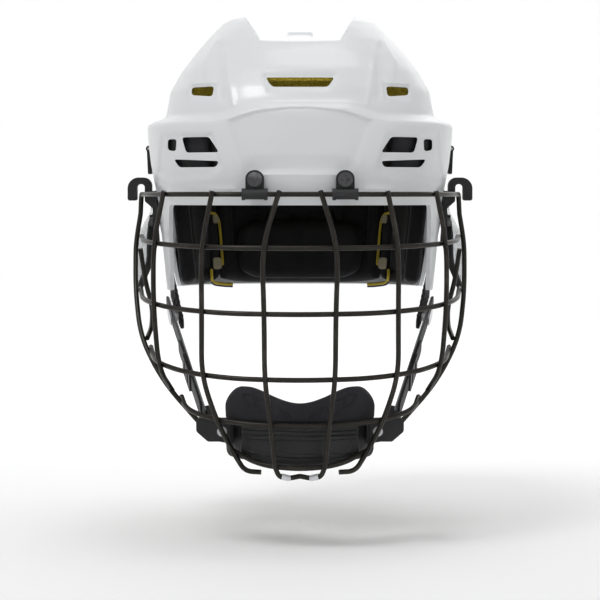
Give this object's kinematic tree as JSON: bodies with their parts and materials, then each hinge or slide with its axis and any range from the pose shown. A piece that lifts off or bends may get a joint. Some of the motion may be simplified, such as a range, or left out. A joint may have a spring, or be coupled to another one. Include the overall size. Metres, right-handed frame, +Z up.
{
  "type": "ice hockey helmet with face cage",
  "caption": "Ice hockey helmet in a white two-part shell with a hinged dark wire face cage, padded chin cup, side hooks, ear covers and snap chin straps.",
  "frame": {"origin": "centre of the head cavity, where the wearer's head holds the helmet", "axes": "+Z up through the crown, -Y towards the face, +X towards the wearer's left"},
  "size_m": [0.2472, 0.3141, 0.3208],
  "materials": {
    "white_shell": "moulded, satin-gloss",
    "black_foam": "closed-cell foam, matt",
    "yellow_foam": "soft foam, matt",
    "black_rubber": "matt",
    "black_plastic": "fine texture",
    "clear_plastic": "clear polycarbonate",
    "webbing": "woven tape",
    "cage_wire": "dark powder coat",
    "screw_steel": "blackened",
    "snap_metal": "nickel",
    "white_tip": "smooth"
  },
  "bodies": {
    "helmet": {"front_shell": "white_shell", "forehead_pad": "black_foam", "temple_pad_left": "black_foam", "temple_pad_right": "black_foam", "crown_foam": "yellow_foam", "forehead_screws": "screw_steel", "forehead_nuts": "screw_steel", "hook_screws": "screw_steel", "ear_cover_screws": "screw_steel", "snap_studs": "snap_metal", "lever_pins": "screw_steel", "guide_screws": "screw_steel", "forehead_clip_left": "black_rubber", "forehead_clip_right": "black_rubber", "side_hook_left": "black_plastic", "side_hook_right": "black_plastic", "ear_cover_left": "clear_plastic", "ear_cover_right": "clear_plastic", "ear_rim_left": "black_rubber", "ear_rim_right": "black_rubber", "ear_webbing_left": "webbing", "ear_webbing_right": "webbing"},
    "rear": {"rear_shell": "white_shell", "occipital_liner": "black_foam", "side_liner_left": "black_foam", "side_liner_right": "black_foam", "rear_crown_foam": "yellow_foam", "nape_pad": "black_foam"},
    "cage": {"top_bar": "cage_wire", "face_bar_1": "cage_wire", "face_bar_2": "cage_wire", "face_bar_3": "cage_wire", "face_bar_4": "cage_wire", "chin_wire": "cage_wire", "wire_tips": "white_tip", "chin_cup": "black_plastic", "chin_pad": "black_foam", "chin_rivets": "screw_steel", "strap_pins": "screw_steel", "side_rail_left": "cage_wire", "side_rail_right": "cage_wire", "inner_upright_left": "cage_wire", "inner_upright_right": "cage_wire", "middle_upright_left": "cage_wire", "middle_upright_right": "cage_wire", "outer_upright_left": "cage_wire", "outer_upright_right": "cage_wire", "strap_wire_left": "cage_wire", "strap_wire_right": "cage_wire", "chin_clip_left": "black_plastic", "chin_clip_right": "black_plastic"},
    "strap_left": {"chin_strap_left": "webbing", "strap_adjuster_left": "black_plastic", "snap_socket_left": "snap_metal"},
    "strap_right": {"chin_strap_right": "webbing", "strap_adjuster_right": "black_plastic", "snap_socket_right": "snap_metal"},
    "lever_left": {"size_lever_left": "black_plastic"},
    "lever_right": {"size_lever_right": "black_plastic"}
  },
  "joints": [
    {"name": "cage_hinge", "type": "hinge", "parent": "helmet", "child": "cage", "pos_m": [0, -0.151, -0.021], "axis": [-1, 0, 0], "range_deg": [0, 100]},
    {"name": "size_slide", "type": "slide", "parent": "helmet", "child": "rear", "axis": [0, 1, 0], "range_m": [0, 0.02]},
    {"name": "strap_hinge_left", "type": "hinge", "parent": "cage", "child": "strap_left", "pos_m": [0.066, -0.103, -0.175], "axis": [-0.967, 0.1926, 0.1667], "range_deg": [0, 75]},
    {"name": "strap_hinge_right", "type": "hinge", "parent": "cage", "child": "strap_right", "pos_m": [-0.066, -0.103, -0.175], "axis": [-0.967, -0.1926, -0.1667], "range_deg": [0, 75]},
    {"name": "lever_hinge_left", "type": "hinge", "parent": "helmet", "child": "lever_left", "pos_m": [0.1116, 0.026, 0.0126], "axis": [0, -1, 0], "range_deg": [0, 95]},
    {"name": "lever_hinge_right", "type": "hinge", "parent": "helmet", "child": "lever_right", "pos_m": [-0.1116, 0.026, 0.0126], "axis": [0, 1, 0], "range_deg": [0, 95]}
  ]
}
